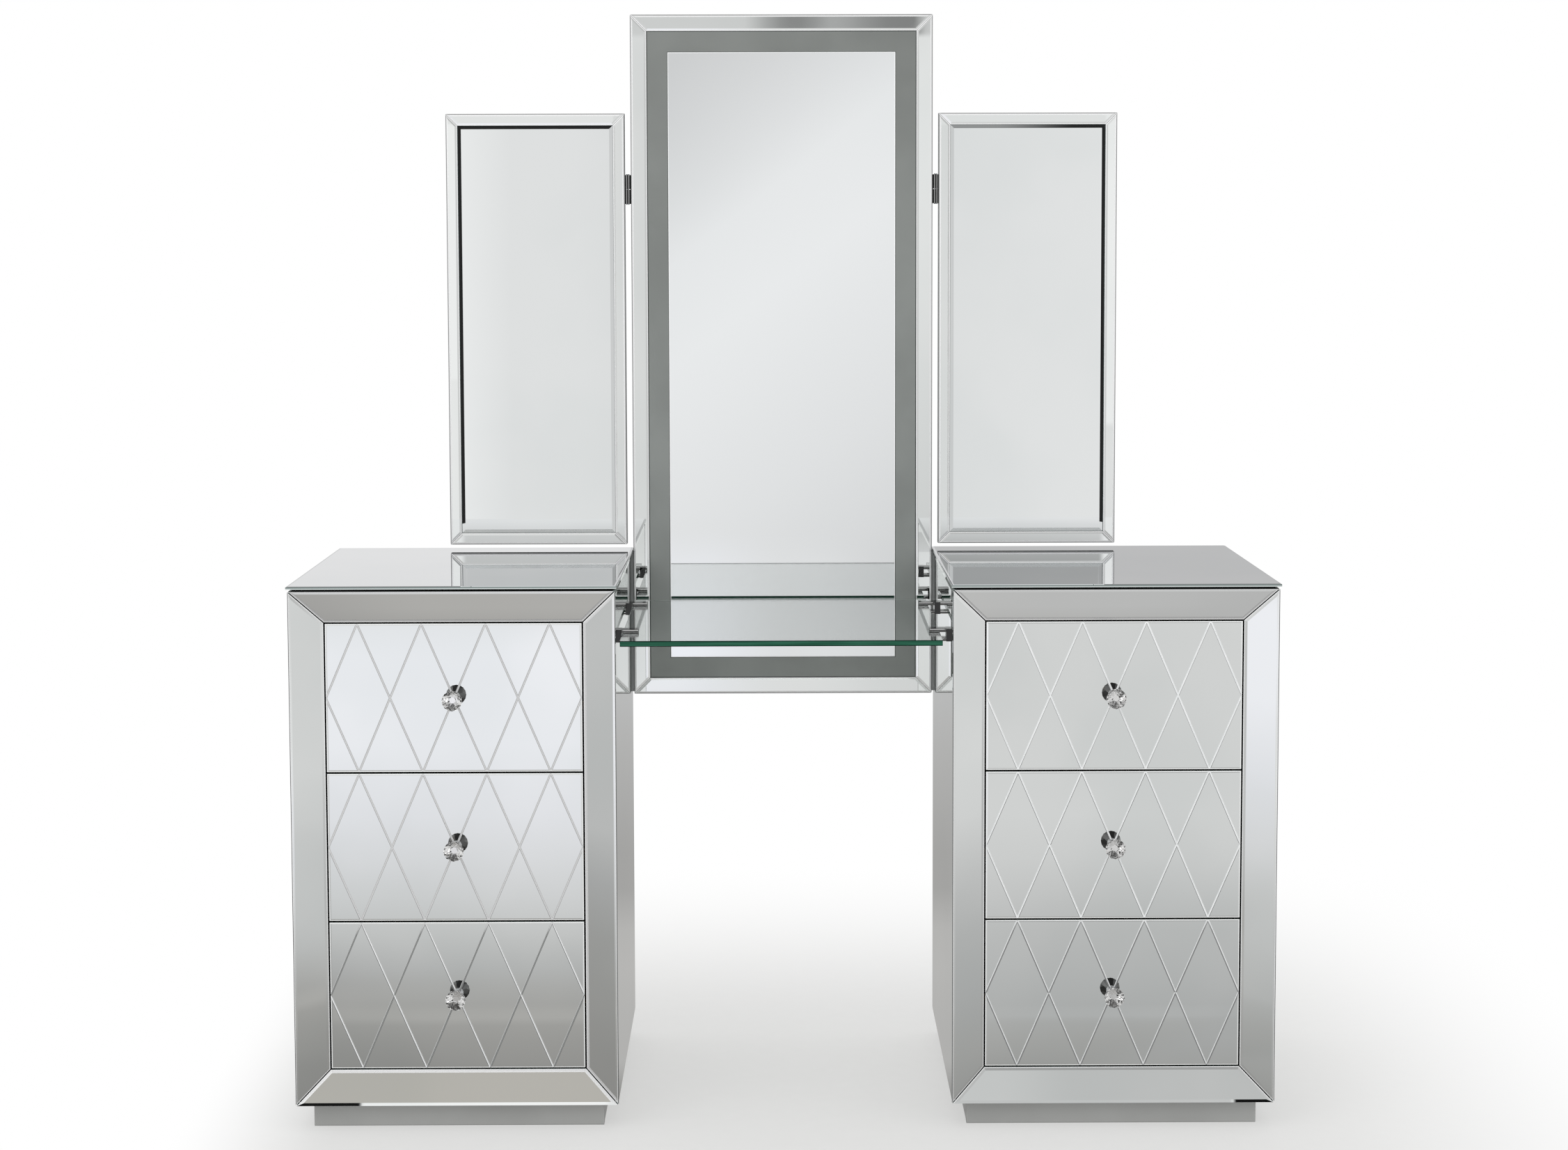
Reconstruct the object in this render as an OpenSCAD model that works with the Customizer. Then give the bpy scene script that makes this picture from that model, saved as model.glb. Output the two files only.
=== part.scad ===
// Mirrored dressing table: two pedestals of three drawers, a glass shelf between them,
// a tall centre mirror with a frosted band, and two wing mirrors hinged to its sides.
// Origin: centre of the footprint on the floor. +X to the right, +Z up, the front faces -Y.

/* [Overall] */
// Width over both pedestal tops
overall_w = 1372; // [1340:1:1420]
// Depth of a pedestal, from the front frame's rim to the back
depth = 457; // [440:1:480]
// Height of a pedestal with its top mirror
pedestal_h = 767; // [750:1:790]
// Width of a pedestal's top mirror
top_w = 455; // [440:1:460]

/* [Pedestal] */
// Overhang of the top mirror past the sides and the front frame
top_overhang = 2; // [1:0.5:4]
// Thickness of the mirror sheets
mirror_t = 4; // [3:0.5:5]
// Thickness of the carcass side boards
side_t = 16; // [12:1:18]
// Thickness of the top and bottom boards
deck_t = 18; // [15:1:22]
// Thickness of the back panel
back_t = 6; // [3:1:9]
// Height of the plinth
plinth_h = 36; // [25:1:60]
// How far the plinth stands back at the sides and the front
plinth_inset = 22; // [15:1:30]
// Thickness of the plinth boards
plinth_t = 16; // [12:1:20]

/* [Front frame] */
// Width of the frame round the drawers, seen from the front
border = 45.5; // [40:0.5:52]
// How far the frame slopes inwards from its rim to the drawers
recess = 20; // [10:1:26]
// Open joint between two mitred strips
mitre_gap = 1.6; // [0.6:0.1:2]
// Width of the bevel round each frame strip
strip_bevel_w = 4; // [2:0.5:5]
// Depth of the bevel round each frame strip
strip_bevel_d = 0.9; // [0.5:0.1:1.5]

/* [Drawers] */
// Clear gap round the drawer fronts, at the frame
side_gap = 2.3; // [1.2:0.1:2.5]
// Clear gap between two drawer fronts
drawer_gap = 2.6; // [1.5:0.1:3]
// Thickness of a drawer's front board
front_board_t = 16; // [12:1:18]
// Length of a drawer box behind its front board
box_len = 390; // [300:5:400]
// Height of a drawer's side boards
box_h = 160; // [120:5:180]
// Thickness of a drawer's side and back boards
box_t = 12; // [10:1:15]
// Thickness of a drawer's bottom
box_bottom_t = 6; // [4:1:9]
// Extra gap between the frame and the uppermost and lowest fronts
edge_gap = 1; // [0:0.5:2]
// Width of an engraved groove in a drawer mirror
groove_w = 3; // [2:0.5:4]
// Depth of an engraved groove
groove_d = 0.8; // [0.4:0.1:1.2]
// Height of the slot in a drawer side that the rail runs in
slot_h = 14; // [12:1:20]
// Depth of that slot
slot_d = 6; // [4:1:8]
// Free play of a rail in its slot, on each side
rail_play = 0.5; // [0.3:0.1:1]

/* [Knobs] */
// Radius of the crystal at its widest
crystal_r = 14; // [12:0.5:16]
// How far a knob stands out from the drawer mirror
knob_len = 32; // [30:1:40]
// Radius of the screw that holds a knob
knob_screw_r = 2; // [1.5:0.5:2.5]

/* [Shelf] */
// Height of the shelf's top above the floor
shelf_z = 690; // [600:1:720]
// Thickness of the glass shelf
shelf_t = 8; // [6:1:10]
// Width of the glass shelf
shelf_w = 446; // [430:1:450]
// How far the glass sits to the left of centre, as the clamps allow
shelf_shift = 4; // [0:1:4]
// Depth of the glass shelf
shelf_depth = 418; // [380:1:425]
// Distance of the front clamps behind the frame's rim
clamp_front_d = 72; // [60:1:140]
// Distance of the rear clamps behind the frame's rim
clamp_rear_d = 344; // [300:1:380]
// Reach of a clamp from the pedestal's side
clamp_reach = 28; // [20:1:34]
// Width of a clamp, along the pedestal's side
clamp_l = 22; // [12:1:30]

/* [Mirrors] */
// Width of the centre mirror
centre_w = 460; // [440:1:462]
// Height of the centre mirror's lower edge
centre_z0 = 541; // [500:1:600]
// Height of the centre mirror's upper edge, the top of the table
centre_z1 = 1582; // [1500:1:1650]
// Distance of the mirrors' front plane behind the pedestals' frame rim
mirror_d = 436; // [430:1:440]
// Width of a wing mirror
wing_w = 272; // [240:1:300]
// Height of a wing's lower edge
wing_z0 = 774; // [772:1:800]
// Height of a wing's upper edge
wing_z1 = 1433; // [1350:1:1500]
// Thickness of a wing
wing_t = 18; // [14:1:20]
// Gap between the centre mirror and a wing
wing_gap = 9.6; // [9.4:0.1:12]
// Width of the mirror strips round the centre glass
centre_rim_w = 24.5; // [18:0.5:27]
// Width of the mirror strips round a wing's glass
wing_rim_w = 17.5; // [14:0.5:24]
// Thickness of those strips
rim_t = 5; // [4:0.5:6]
// Width of their bevel
rim_bevel_w = 3.5; // [2:0.5:4]
// Width of the bevel round a wing's glass
glass_bevel_w = 5.5; // [4:0.5:10]
// Depth of the bevel round a wing's glass
glass_bevel_d = 1.2; // [0.8:0.1:2]
// Width of the frosted band that the light shines through
band_w = 32; // [20:1:40]

/* [Hinges] */
// Height of a hinge's lower end
hinge_z0 = 1296; // [1200:1:1350]
// Height of a hinge
hinge_h = 44; // [40:1:60]
// Outer radius of a knuckle
knuckle_r = 4.2; // [3:0.1:4.2]
// Radius of the pin
pin_r = 1.75; // [1.5:0.05:2]
// Thickness of a hinge leaf
leaf_t = 1.5; // [1:0.1:1.5]

/* [Hidden] */
$fn = 48;
glue = 0.2;
knob_out = knob_len - recess;
y_front = (knob_out - depth) / 2;
y_back = y_front + depth;

body_w = top_w - 2 * top_overhang;
half_body = body_w / 2;
half_inner = half_body - mirror_t - side_t;
pedestal_x = (overall_w - top_w) / 2;
inner_face_x = pedestal_x - half_body;
carcass_top = pedestal_h - mirror_t;
frame_top = carcass_top - 3;
frame_h = frame_top - plinth_h;
frame_d = 40;

opening_half_w = half_body - border;
opening_z0 = plinth_h + border;
opening_h = frame_h - 2 * border;
pitch = (opening_h - 2 * edge_gap) / 3;
front_w = 2 * (opening_half_w - side_gap);
front_h = pitch - drawer_gap;
box_half_w = opening_half_w - 7.5;
box_d = recess + mirror_t + front_board_t;
box_lift = 12;
slot_z = box_lift + 70;

centre_half = centre_w / 2;
centre_h = centre_z1 - centre_z0;
wing_h = wing_z1 - wing_z0;
glass_t = 4;
glass_play = 0.2;
rim_gap = 0.4;
glass_d = mirror_d + rim_t - glass_t;
tray_d = mirror_d + rim_t;
cover_t = 2;
tray_t = depth - cover_t - tray_d;
tray_w = 28;
diffuser_inset = tray_w + 0.5;
diffuser_w = centre_rim_w + glass_play + band_w + 1 - diffuser_inset;

hinge_z1 = hinge_z0 + hinge_h;
hinge_mid = hinge_z0 + hinge_h / 2;
hinge_x = centre_half + wing_gap - 4.6;
hinge_d = mirror_d + 3.5;
bore_r = pin_r + 0.05;
leaf_d0 = hinge_d + 3.8;
leaf_len = 12;

inlet_x = 0;
inlet_z = centre_z0 + 140;
inlet_r = 6;
inlet_bore_r = 2.8;
inlet_len = 9;

// ---------- shared shapes ----------

// Y of a plane that lies d behind the front frame's rim
function fy(d) = y_front + d;

// A box given by its two x, its two distances behind the rim, and its two z
module slab(x0, x1, d0, d1, z0, z1) {
    translate([x0, fy(d0), z0])
        cube([x1 - x0, d1 - d0, z1 - z0]);
}

// Moves its children into both mirror-image places
module both_sides() {
    children();
    mirror([1, 0, 0])
        children();
}

// Sheet in the XZ plane, front at y = 0, with a bevel round its front face
module bevelled_sheet(w, h, t, bevel_w, bevel_d) {
    intersection() {
        linear_extrude(h)
            polygon([
                [0, bevel_d], [bevel_w, 0], [w - bevel_w, 0], [w, bevel_d], [w, t], [0, t]
            ]);
        rotate([90, 0, 90])
            linear_extrude(w)
                polygon([
                    [bevel_d, 0], [0, bevel_w], [0, h - bevel_w], [bevel_d, h], [t, h], [t, 0]
                ]);
    }
}

// Four corners of a mitred bar's outline, inset from its edges, on the plane y = slope * z + y0
function bar_outline(len, w, slope, y0, inset, gap) =
    let(cut = (gap / 2 + inset) * sqrt(2))
    [
        for (corner = [[0, inset], [1, inset], [1, w - inset], [0, w - inset]])
            let(u = corner[1], x = u + cut)
            [corner[0] == 0 ? x : len - x, slope * u + y0, u]
    ];

// Mitred mirror strip: lies along +X, its inner edge towards +Z, its face towards -Y,
// bevelled on all four edges and cut at 45 degrees at both ends
module mirror_strip(len, w, slope, t, bevel_w, bevel_d, gap) {
    polyhedron(
        points = concat(
            bar_outline(len, w, slope, 0, bevel_w, gap),
            bar_outline(len, w, slope, bevel_d, 0, gap),
            bar_outline(len, w, slope, t, 0, gap)
        ),
        faces = concat(
            [[3, 2, 1, 0]],
            [for (i = [0:3]) let(j = (i + 1) % 4) [i, j, j + 4, i + 4]],
            [for (i = [0:3]) let(j = (i + 1) % 4) [i + 4, j + 4, j + 8, i + 8]],
            [[8, 9, 10, 11]]
        )
    );
}

// Mitred solid bar of a given cross-section (points are [y, z], z running inwards)
module mitred_bar(len, w, section, gap) {
    y_max = max([for (p = section) p[0]]) + 1;
    cut = gap / 2 * sqrt(2);
    intersection() {
        rotate([90, 0, 90])
            linear_extrude(len)
                polygon(section);
        translate([0, y_max, 0])
            rotate([90, 0, 0])
                linear_extrude(y_max + 1)
                    polygon([[cut, 0], [len - cut, 0], [len - w - cut, w], [w + cut, w]]);
    }
}

// Sets its child on the four sides of a rectangle; $len is the length of each bar
module on_four_sides(x0, x1, z0, z1) {
    translate([x0, 0, z0])
        let($len = x1 - x0) children();
    translate([x1, 0, z1])
        rotate([0, 180, 0])
            let($len = x1 - x0) children();
    translate([x0, 0, z1])
        rotate([0, 90, 0])
            let($len = z1 - z0) children();
    translate([x1, 0, z0])
        rotate([0, -90, 0])
            let($len = z1 - z0) children();
}

module rounded_rect(w, h, r) {
    translate([r, 0])
        square([w - 2 * r, h]);
    translate([0, r])
        square([w, h - 2 * r]);
    for (x = [r, w - r], y = [r, h - r])
        translate([x, y])
            circle(r);
}

// Cylinder along -Y, from d0 behind the rim to d1
module rod(x, z, r, d0, d1) {
    translate([x, fy(d1), z])
        rotate([90, 0, 0])
            cylinder(r = r, h = d1 - d0);
}

// ---------- pedestals ----------

module in_pedestal(side) {
    translate([side * pedestal_x, 0, 0])
        children();
}

module carcass(side) {
    color("dimgray")
        in_pedestal(side) {
            both_sides()
                slab(half_inner, half_body - mirror_t, frame_d + glue, depth, plinth_h, carcass_top);
            for (z = [plinth_h, carcass_top - deck_t])
                slab(glue - half_inner, half_inner - glue, frame_d + glue, depth, z, z + deck_t);
        }
}

module side_mirrors(side) {
    front_d = mirror_t * (1 + recess / border) + 0.2;
    color("gainsboro")
        in_pedestal(side)
            both_sides()
                translate([half_body, fy(front_d), plinth_h])
                    rotate([0, 0, 90])
                        bevelled_sheet(depth - front_d, frame_h, mirror_t, 6, 0.9);
}

module top_mirror(side) {
    color("whitesmoke")
        in_pedestal(side)
            translate([-top_w / 2, fy(-top_overhang), pedestal_h])
                rotate([-90, 0, 0])
                    bevelled_sheet(top_w, depth + top_overhang, mirror_t, 3, 0.8);
}

module frame_core(side) {
    inset = mirror_t + glue;
    front = inset * (1 + recess / border);
    w = border - inset;
    color([0.08, 0.08, 0.08])
        in_pedestal(side)
            translate([0, y_front, 0])
                on_four_sides(inset - half_body, half_body - inset,
                    plinth_h + inset, frame_top - inset)
                    mitred_bar($len, w, [
                        [front, 0], [inset + recess, w], [frame_d, w], [frame_d, 0]
                    ], 0.4);
}

module frame_strips(side) {
    color("silver")
        in_pedestal(side)
            translate([0, y_front, 0])
                on_four_sides(-half_body, half_body, plinth_h, frame_top)
                    mirror_strip($len, border, recess / border, mirror_t,
                        strip_bevel_w, strip_bevel_d, mitre_gap);
}

module plinth_board(len) {
    chamfer = 2;
    rotate([90, 0, 90])
        linear_extrude(len)
            polygon([
                [0, chamfer], [chamfer, 0], [plinth_t, 0], [plinth_t, plinth_h], [0, plinth_h]
            ]);
}

module plinth(side) {
    half = half_body - plinth_inset;
    back_d = depth - 10;
    inner_len = back_d - plinth_inset - 2 * (plinth_t + glue);
    color("silver")
        in_pedestal(side) {
            translate([-half, fy(plinth_inset), 0])
                plinth_board(2 * half);
            translate([half, fy(back_d), 0])
                rotate([0, 0, 180])
                    plinth_board(2 * half);
            both_sides()
                translate([half, fy(plinth_inset + plinth_t + glue), 0])
                    rotate([0, 0, 90])
                        plinth_board(inner_len);
        }
}

module runners(side) {
    color("burlywood")
        in_pedestal(side)
            both_sides()
                for (row = [0:2])
                    let(z = drawer_z(row) + slot_z)
                    slab(box_half_w - slot_d + rail_play, half_inner, frame_d + 4, depth - 10,
                        z + rail_play, z + slot_h - rail_play);
}

module pedestal_backs() {
    color("tan")
        for (side = [-1, 1])
            in_pedestal(side)
                slab(glue - half_inner, half_inner - glue, depth - back_t - 2, depth - 2,
                    plinth_h + deck_t + glue, carcass_top - deck_t - glue);
}

// ---------- drawers: row 0 is the lowest ----------

// Height of a drawer front's lower edge
function drawer_z(row) = opening_z0 + edge_gap + row * pitch + drawer_gap / 2;

module drawer_box(side, row) {
    z0 = drawer_z(row);
    z1 = z0 + box_lift;
    end_d = box_d + box_len;
    color("burlywood")
        in_pedestal(side) {
            difference() {
                slab(-front_w / 2, front_w / 2, box_d - front_board_t, box_d, z0, z0 + front_h);
                rod(0, z0 + front_h / 2, knob_screw_r + 0.2, recess, box_d + 1);
            }
            both_sides()
                difference() {
                    slab(box_half_w - box_t, box_half_w, box_d + glue, end_d, z1, z1 + box_h);
                    slab(box_half_w - slot_d, box_half_w + 1, box_d, end_d + 1,
                        z0 + slot_z, z0 + slot_z + slot_h);
                }
            slab(box_t + glue - box_half_w, box_half_w - box_t - glue, end_d - box_t, end_d,
                z1 + 4, z1 + box_h - 10);
            slab(box_t + glue - box_half_w, box_half_w - box_t - glue, box_d + glue,
                end_d - box_t - glue, z1 + 4, z1 + 4 + box_bottom_t);
        }
}

// One engraved V-groove that runs up and to the right across one quarter of the sheet
module lattice_groove(x0, run, rise) {
    above = 1;
    half_top = groove_w / 2 * (groove_d + above) / groove_d;
    beyond = 10;
    tilt = atan2(rise, run);
    translate([x0, 0, 0])
        rotate([0, -tilt, 0])
            translate([-beyond, 0, 0])
                rotate([90, 0, 90])
                    linear_extrude(norm([run, rise]) + 2 * beyond)
                        polygon([[-above, -half_top], [-above, half_top], [groove_d, 0]]);
}

// Mirror front: bevelled sheet with four tall diamonds engraved side by side
module drawer_front(side, row) {
    eighth = front_w / 8;
    color("gainsboro")
        in_pedestal(side)
            translate([-front_w / 2, fy(recess), drawer_z(row)])
                difference() {
                    bevelled_sheet(front_w, front_h, mirror_t, 2.5, 0.6);
                    for (k = [-1:2:7]) {
                        lattice_groove(k * eighth, 2 * eighth, front_h);
                        lattice_groove((k + 2) * eighth, -2 * eighth, front_h);
                    }
                    translate([front_w / 2, mirror_t + 1, front_h / 2])
                        rotate([90, 0, 0])
                            cylinder(r = knob_screw_r + 0.2, h = mirror_t + 2);
                }
}

// Chrome rose, stem and cup in one turned piece, with the screw through the drawer front
module knob_base(side, row) {
    screw_len = mirror_t + front_board_t;
    color("lightsteelblue")
        in_pedestal(side)
            translate([0, fy(recess), drawer_z(row) + front_h / 2])
                rotate([90, 0, 0]) {
                    rotate_extrude()
                        polygon([
                            [0, 0], [8, 0], [8, 1.2], [7, 2.4], [4.6, 3.4], [3.8, 5], [3.8, 7],
                            [5, 9], [6.8, 12.4], [6.8, 13], [5.6, 13], [4.6, 11.4], [0, 11.4]
                        ]);
                    translate([0, 0, -screw_len - 0.5])
                        cylinder(r = knob_screw_r, h = screw_len + 0.7);
                    translate([0, 0, -screw_len - 2.5])
                        cylinder(r = 4, h = 2.5);
                }
}

// Ring of a crystal's corners as a thin plate: n corners of radius r at height h, turned by turn
module facet_ring(h, r, n, turn) {
    translate([0, 0, h - 0.01])
        rotate([0, 0, turn])
            linear_extrude(0.01)
                circle(r = r, $fn = n);
}

// Diamond-cut crystal: flat table in front, girdle, and a facetted cone back to the cup
module crystal(side, row) {
    color([0.9, 0.95, 1, 0.6])
        in_pedestal(side)
            translate([0, fy(recess), drawer_z(row) + front_h / 2])
                rotate([90, 0, 0])
                    hull() {
                        facet_ring(11.6, 4.4, 8, 0);
                        facet_ring(19.5, 10.4, 8, 22.5);
                        facet_ring(26, crystal_r, 16, 0);
                        facet_ring(27.4, crystal_r, 16, 0);
                        facet_ring(30.2, 11.6, 8, 22.5);
                        facet_ring(knob_len, 7.8, 8, 0);
                    }
}

// ---------- shelf ----------

module glass_shelf() {
    arris = 0.8;
    z0 = arris;
    z1 = shelf_t - arris;
    color([0.3, 0.6, 0.5, 0.5])
        translate([-shelf_w / 2 - shelf_shift, fy(0), shelf_z - shelf_t])
            intersection() {
                linear_extrude(shelf_t)
                    rounded_rect(shelf_w, shelf_depth, 3);
                rotate([90, 0, 90])
                    linear_extrude(shelf_w)
                        polygon([
                            [0, z0], [arris, 0], [shelf_depth - arris, 0], [shelf_depth, z0],
                            [shelf_depth, z1], [shelf_depth - arris, shelf_t],
                            [arris, shelf_t], [0, z1]
                        ]);
            }
}

// Flat bar's section with both edges fully rounded
module bullnose(w, h) {
    translate([h / 2, 0])
        square([w - h, h]);
    for (x = [h / 2, w - h / 2])
        translate([x, h / 2])
            circle(h / 2);
}

// C-shaped clamp: plate on the pedestal's side, and a rounded jaw above and below the glass
module shelf_clamp(d) {
    jaw_t = 5;
    plate_t = 4.5;
    jaw_len = clamp_reach - plate_t + 1;
    for (z = [shelf_z, shelf_z - shelf_t - jaw_t])
        translate([inner_face_x - clamp_reach, fy(d), z])
            rotate([90, 0, 90])
                linear_extrude(jaw_len)
                    bullnose(clamp_l, jaw_t);
    slab(inner_face_x - plate_t, inner_face_x, d, d + clamp_l,
        shelf_z - shelf_t - jaw_t, shelf_z + jaw_t);
}

module shelf_clamps() {
    color("lightsteelblue")
        both_sides()
            for (d = [clamp_front_d, clamp_rear_d])
                shelf_clamp(d);
}

// ---------- centre mirror ----------

module centre_tray() {
    color("gray")
        translate([0, fy(tray_d), 0])
            on_four_sides(-centre_half, centre_half, centre_z0, centre_z1)
                mitred_bar($len, tray_w, [[0, 0], [tray_t, 0], [tray_t, tray_w], [0, tray_w]], 0.4);
}

module centre_back_cover() {
    color("gray")
        difference() {
            slab(1 - centre_half, centre_half - 1, depth - cover_t, depth,
                centre_z0 + 1, centre_z1 - 1);
            rod(inlet_x, inlet_z, inlet_r + 0.1, tray_d, depth + 1);
        }
}

module centre_strips() {
    color("silver")
        translate([0, fy(mirror_d), 0])
            on_four_sides(-centre_half, centre_half, centre_z0, centre_z1)
                mirror_strip($len, centre_rim_w, 0, rim_t, rim_bevel_w, 0.8, rim_gap);
}

module centre_glass() {
    edge = centre_rim_w + glass_play;
    color("white")
        translate([edge - centre_half, fy(glass_d), centre_z0 + edge])
            bevelled_sheet(centre_w - 2 * edge, centre_h - 2 * edge, glass_t, 1.5, 0.4);
}

// Flat or square bars round the inside of the tray, x0 and w measured inwards from its rim
module inner_bars(inset, w, d0, d1) {
    translate([0, fy(d0), 0])
        on_four_sides(inset - centre_half, centre_half - inset,
            centre_z0 + inset, centre_z1 - inset)
            mitred_bar($len, w, [[0, 0], [d1 - d0, 0], [d1 - d0, w], [0, w]], 0.4);
}

module centre_diffuser() {
    color("white")
        inner_bars(diffuser_inset, diffuser_w, tray_d + glue, tray_d + 2.2);
}

module light_bars() {
    color("lightyellow")
        inner_bars(tray_w + glue, 8, tray_d + 4, tray_d + 12);
}

module light_driver() {
    color("dimgray")
        slab(-60, 60, tray_d + 2.6, depth - cover_t - glue, centre_z0 + 75, centre_z0 + 115);
}

module power_inlet() {
    cover_d = depth - cover_t;
    color([0.1, 0.1, 0.1])
        difference() {
            union() {
                rod(inlet_x, inlet_z, inlet_r, depth - inlet_len - 1.5, depth);
                rod(inlet_x, inlet_z, inlet_r + 2.5, cover_d - 2, cover_d);
            }
            rod(inlet_x, inlet_z, inlet_bore_r, depth - inlet_len, depth + 1);
        }
}

// Upright battens that fill the gap between the centre mirror and the pedestals' sides
module mounting_rails() {
    color([0.08, 0.08, 0.08])
        both_sides()
            slab(centre_half, inner_face_x, tray_d, depth, centre_z0 + 3, carcass_top - 1);
}

// ---------- wings and hinges, drawn on the right ----------

wing_x = centre_half + wing_gap;

module mirrored(side) {
    mirror([side < 0 ? 1 : 0, 0, 0])
        children();
}

module wing_tray(side) {
    color("gray")
        mirrored(side)
            slab(wing_x, wing_x + wing_w, tray_d, mirror_d + wing_t, wing_z0, wing_z1);
}

module wing_strips(side) {
    color("silver")
        mirrored(side)
            translate([0, fy(mirror_d), 0])
                on_four_sides(wing_x, wing_x + wing_w, wing_z0, wing_z1)
                    mirror_strip($len, wing_rim_w, 0, rim_t, rim_bevel_w, 0.8, rim_gap);
}

module wing_glass(side) {
    edge = wing_rim_w + glass_play;
    color("white")
        mirrored(side)
            translate([wing_x + edge, fy(glass_d), wing_z0 + edge])
                bevelled_sheet(wing_w - 2 * edge, wing_h - 2 * edge, glass_t,
                    glass_bevel_w, glass_bevel_d);
}

// Knuckle round the pin with its web to the leaf, which lies on the face at x = face_x
module hinge_leaf(face_x, knuckle_z0, knuckle_z1) {
    inner_x = face_x < hinge_x ? face_x + leaf_t : face_x - leaf_t;
    slab(min(face_x, inner_x), max(face_x, inner_x), leaf_d0, leaf_d0 + leaf_len,
        hinge_z0, hinge_z1);
    difference() {
        union() {
            translate([hinge_x, fy(hinge_d), knuckle_z0])
                cylinder(r = knuckle_r, h = knuckle_z1 - knuckle_z0);
            slab(min(face_x, hinge_x), max(face_x, hinge_x), hinge_d + 0.4, hinge_d + knuckle_r,
                knuckle_z0, knuckle_z1);
        }
        translate([hinge_x, fy(hinge_d), hinge_z0 - 1])
            cylinder(r = bore_r, h = hinge_h + 2);
    }
}

module fixed_hinge_leaves() {
    color("gray")
        both_sides()
            hinge_leaf(centre_half, hinge_z0, hinge_mid - 0.4);
}

module moving_hinge_leaf(side) {
    color("gray")
        mirrored(side)
            hinge_leaf(wing_x, hinge_mid + 0.4, hinge_z1);
}

module hinge_pins() {
    color("silver")
        both_sides()
            translate([hinge_x, fy(hinge_d), hinge_z0 - 1]) {
                cylinder(r = pin_r, h = hinge_h + 2.2);
                cylinder(r = 2.6, h = 1);
                translate([0, 0, hinge_h + 1.2])
                    cylinder(r = 2.6, h = 1);
            }
}

// ---------- the nodes ----------

carcass(-1);  // left_carcass
side_mirrors(-1);  // left_side_mirrors
top_mirror(-1);  // left_top_mirror
frame_core(-1);  // left_frame_core
frame_strips(-1);  // left_frame_strips
plinth(-1);  // left_plinth
runners(-1);  // left_runners
carcass(1);  // right_carcass
side_mirrors(1);  // right_side_mirrors
top_mirror(1);  // right_top_mirror
frame_core(1);  // right_frame_core
frame_strips(1);  // right_frame_strips
plinth(1);  // right_plinth
runners(1);  // right_runners
pedestal_backs();
glass_shelf();
shelf_clamps();
centre_tray();
centre_back_cover();
centre_strips();
centre_glass();
centre_diffuser();
light_bars();
light_driver();
power_inlet();
mounting_rails();
fixed_hinge_leaves();
hinge_pins();
wing_tray(-1);  // left_wing_tray
wing_strips(-1);  // left_wing_strips
wing_glass(-1);  // left_wing_glass
moving_hinge_leaf(-1);  // left_hinge_leaf
wing_tray(1);  // right_wing_tray
wing_strips(1);  // right_wing_strips
wing_glass(1);  // right_wing_glass
moving_hinge_leaf(1);  // right_hinge_leaf
drawer_box(-1, 2);  // left_top_box
drawer_front(-1, 2);  // left_top_front
knob_base(-1, 2);  // left_top_knob_base
crystal(-1, 2);  // left_top_crystal
drawer_box(-1, 1);  // left_middle_box
drawer_front(-1, 1);  // left_middle_front
knob_base(-1, 1);  // left_middle_knob_base
crystal(-1, 1);  // left_middle_crystal
drawer_box(-1, 0);  // left_bottom_box
drawer_front(-1, 0);  // left_bottom_front
knob_base(-1, 0);  // left_bottom_knob_base
crystal(-1, 0);  // left_bottom_crystal
drawer_box(1, 2);  // right_top_box
drawer_front(1, 2);  // right_top_front
knob_base(1, 2);  // right_top_knob_base
crystal(1, 2);  // right_top_crystal
drawer_box(1, 1);  // right_middle_box
drawer_front(1, 1);  // right_middle_front
knob_base(1, 1);  // right_middle_knob_base
crystal(1, 1);  // right_middle_crystal
drawer_box(1, 0);  // right_bottom_box
drawer_front(1, 0);  // right_bottom_front
knob_base(1, 0);  // right_bottom_knob_base
crystal(1, 0);  // right_bottom_crystal
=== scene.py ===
"""Mirrored dressing table: materials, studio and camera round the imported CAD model."""

import math

import bpy
from mathutils import Matrix, Vector

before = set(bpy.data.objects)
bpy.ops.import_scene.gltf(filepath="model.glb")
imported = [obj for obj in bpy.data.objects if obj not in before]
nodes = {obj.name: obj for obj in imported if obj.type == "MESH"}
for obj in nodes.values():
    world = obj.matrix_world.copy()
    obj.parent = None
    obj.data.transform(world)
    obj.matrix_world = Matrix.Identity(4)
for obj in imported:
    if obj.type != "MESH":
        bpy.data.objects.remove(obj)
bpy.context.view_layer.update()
scene = bpy.context.scene
scene.view_settings.view_transform = "Standard"

SIDES = ("left", "right")
ROWS = ("top", "middle", "bottom")
DRAWERS = [f"{side}_{row}" for side in SIDES for row in ROWS]
LEFT_FRAME = "left_frame_strips"
CENTRE_RING = "centre_strips"
WHITE = (1, 1, 1, 1)

# a face looks a way when its normal goes that way by more than this
FACING = 0.45
# a face that looks to the front by less than this is a bevel, and not flat
FLAT = 0.995
# a face of a strip is a bevel when it leans from the strip's flat by more than this
LEAN = 0.05
# the frame strips go back by this much over this width, in millimetres
FRAME_RECESS, FRAME_BORDER = 20, 45.5


# ---------- node helpers ----------

def linear(level):
    """Linear value of a grey level from 0 to 255."""
    c = level / 255
    return c / 12.92 if c <= 0.04045 else ((c + 0.055) / 1.055) ** 2.4


def rgb(r, g, b):
    """Colour from three levels of 0 to 255."""
    return (linear(r), linear(g), linear(b), 1)


def scaled_rgb(colour, factor):
    return rgb(*[c * factor for c in colour])


def tone(level, warmth=0.0):
    """Grey of a level; a warmth above 0 leans to yellow and below 0 to blue."""
    g = linear(level)
    return (g * (1 + 0.02 * max(warmth, 0)), g, g * (1 - 0.03 * warmth), 1)


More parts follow.
